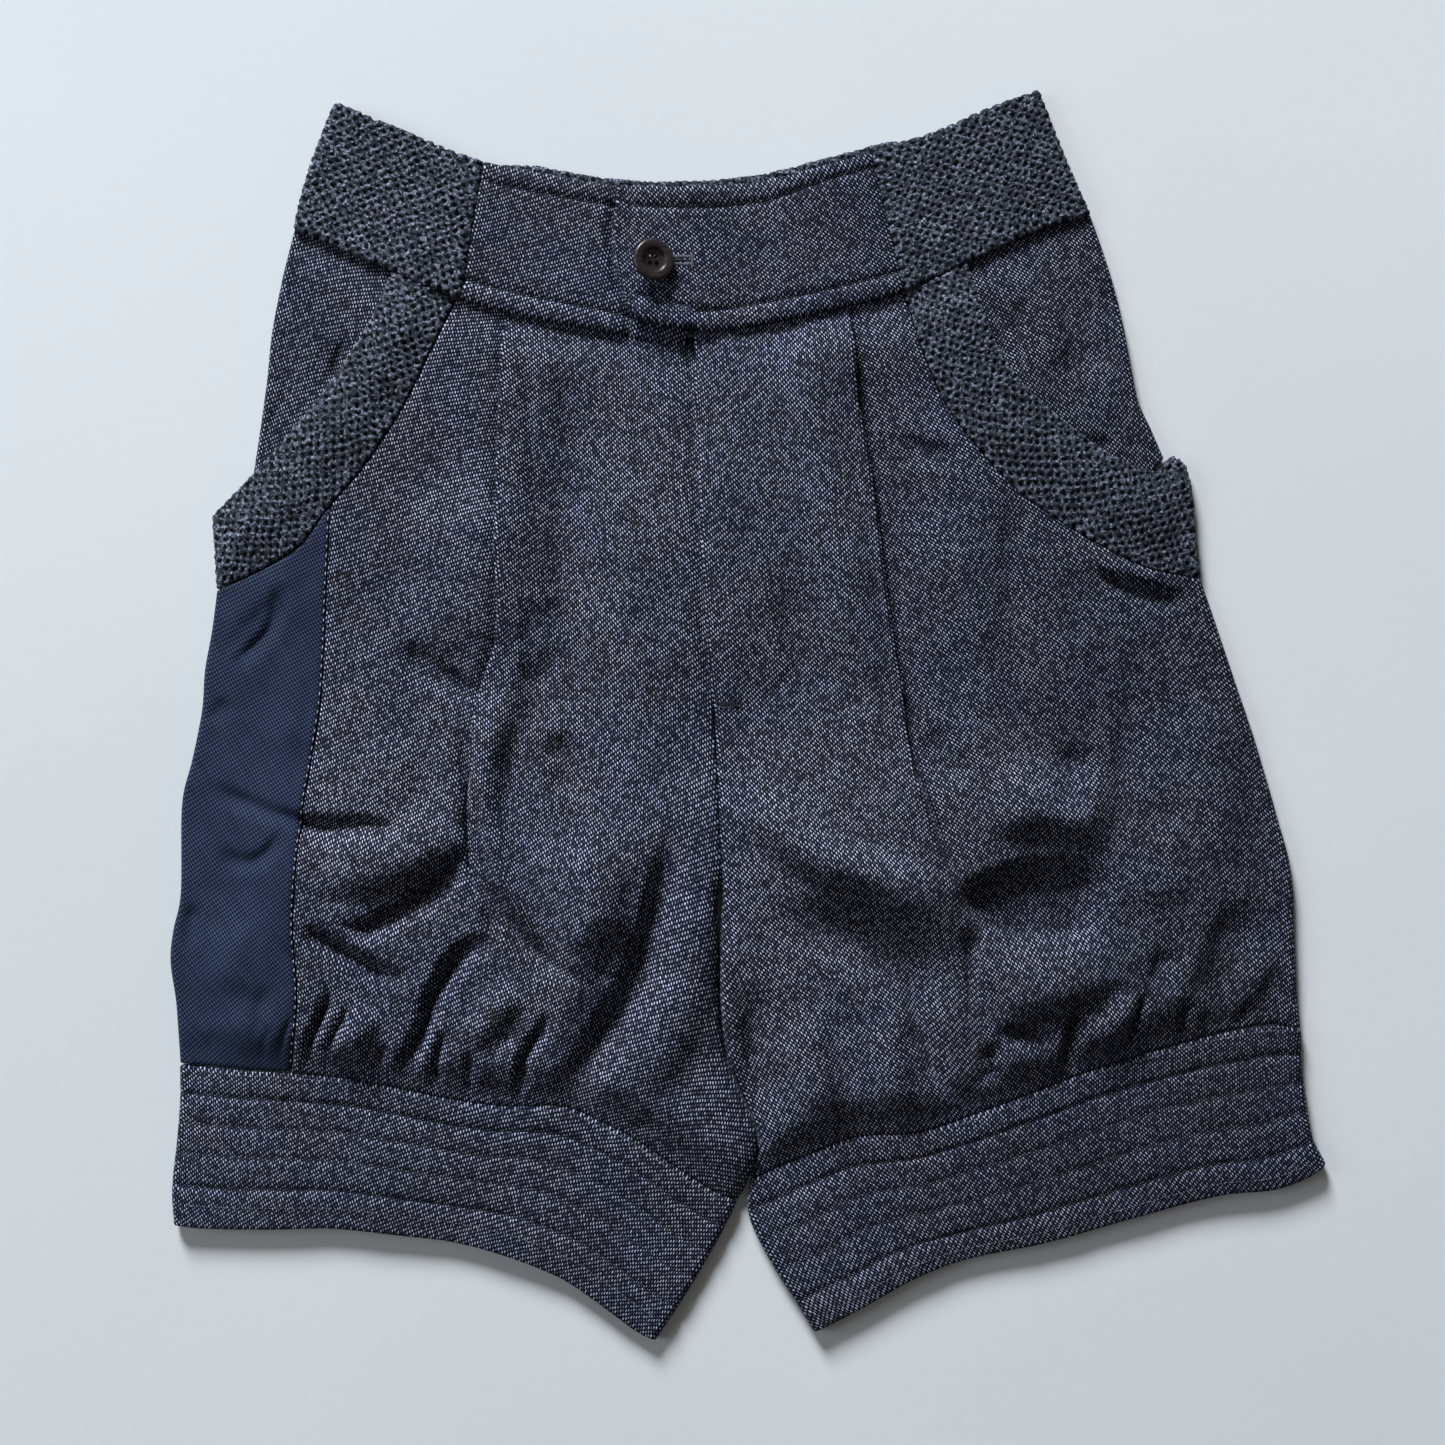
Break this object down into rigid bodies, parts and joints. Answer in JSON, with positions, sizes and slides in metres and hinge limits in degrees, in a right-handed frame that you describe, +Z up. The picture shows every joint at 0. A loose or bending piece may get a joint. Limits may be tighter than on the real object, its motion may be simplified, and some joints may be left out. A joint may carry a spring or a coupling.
{
  "type": "wool shorts",
  "caption": "High-waisted wool shorts laid flat, front up: knit and woven waistband with a buttoned tab, forward pleats, curved knit pocket welts, a navy side panel and turned-up cuffs.",
  "frame": {"origin": "on the surface that the garment lies on, under the middle of its outline", "axes": "+Z up out of the front of the garment, +Y from the hems to the waist, +X towards the wearer's left"},
  "size_m": [0.5276, 0.5698, 0.0195],
  "materials": {
    "birdseye": "charcoal birdseye wool, light blue-grey dots on near-black navy, matt with a slight nap",
    "navy": "plain navy wool twill, matt",
    "knit": "coarse charcoal knit with a fuzzy face",
    "horn": "dark brown button with a soft gloss",
    "thread": "near-black sewing thread"
  },
  "bodies": {
    "root": {"front_right": "birdseye", "front_left": "birdseye", "side_panel_right": "navy", "hip_yoke_right": "birdseye", "hip_yoke_left": "birdseye", "pocket_welt_right": "knit", "pocket_welt_left": "knit", "waistband_side_right": "knit", "waistband_side_left": "knit", "waistband_front_right": "birdseye", "waistband_front_left": "birdseye", "waistband_back": "knit", "back_right": "birdseye", "back_left": "birdseye", "cuff_front_right": "birdseye", "cuff_back_right": "birdseye", "cuff_front_left": "birdseye", "cuff_back_left": "birdseye", "button": "horn", "button_thread": "thread"}
  },
  "joints": []
}
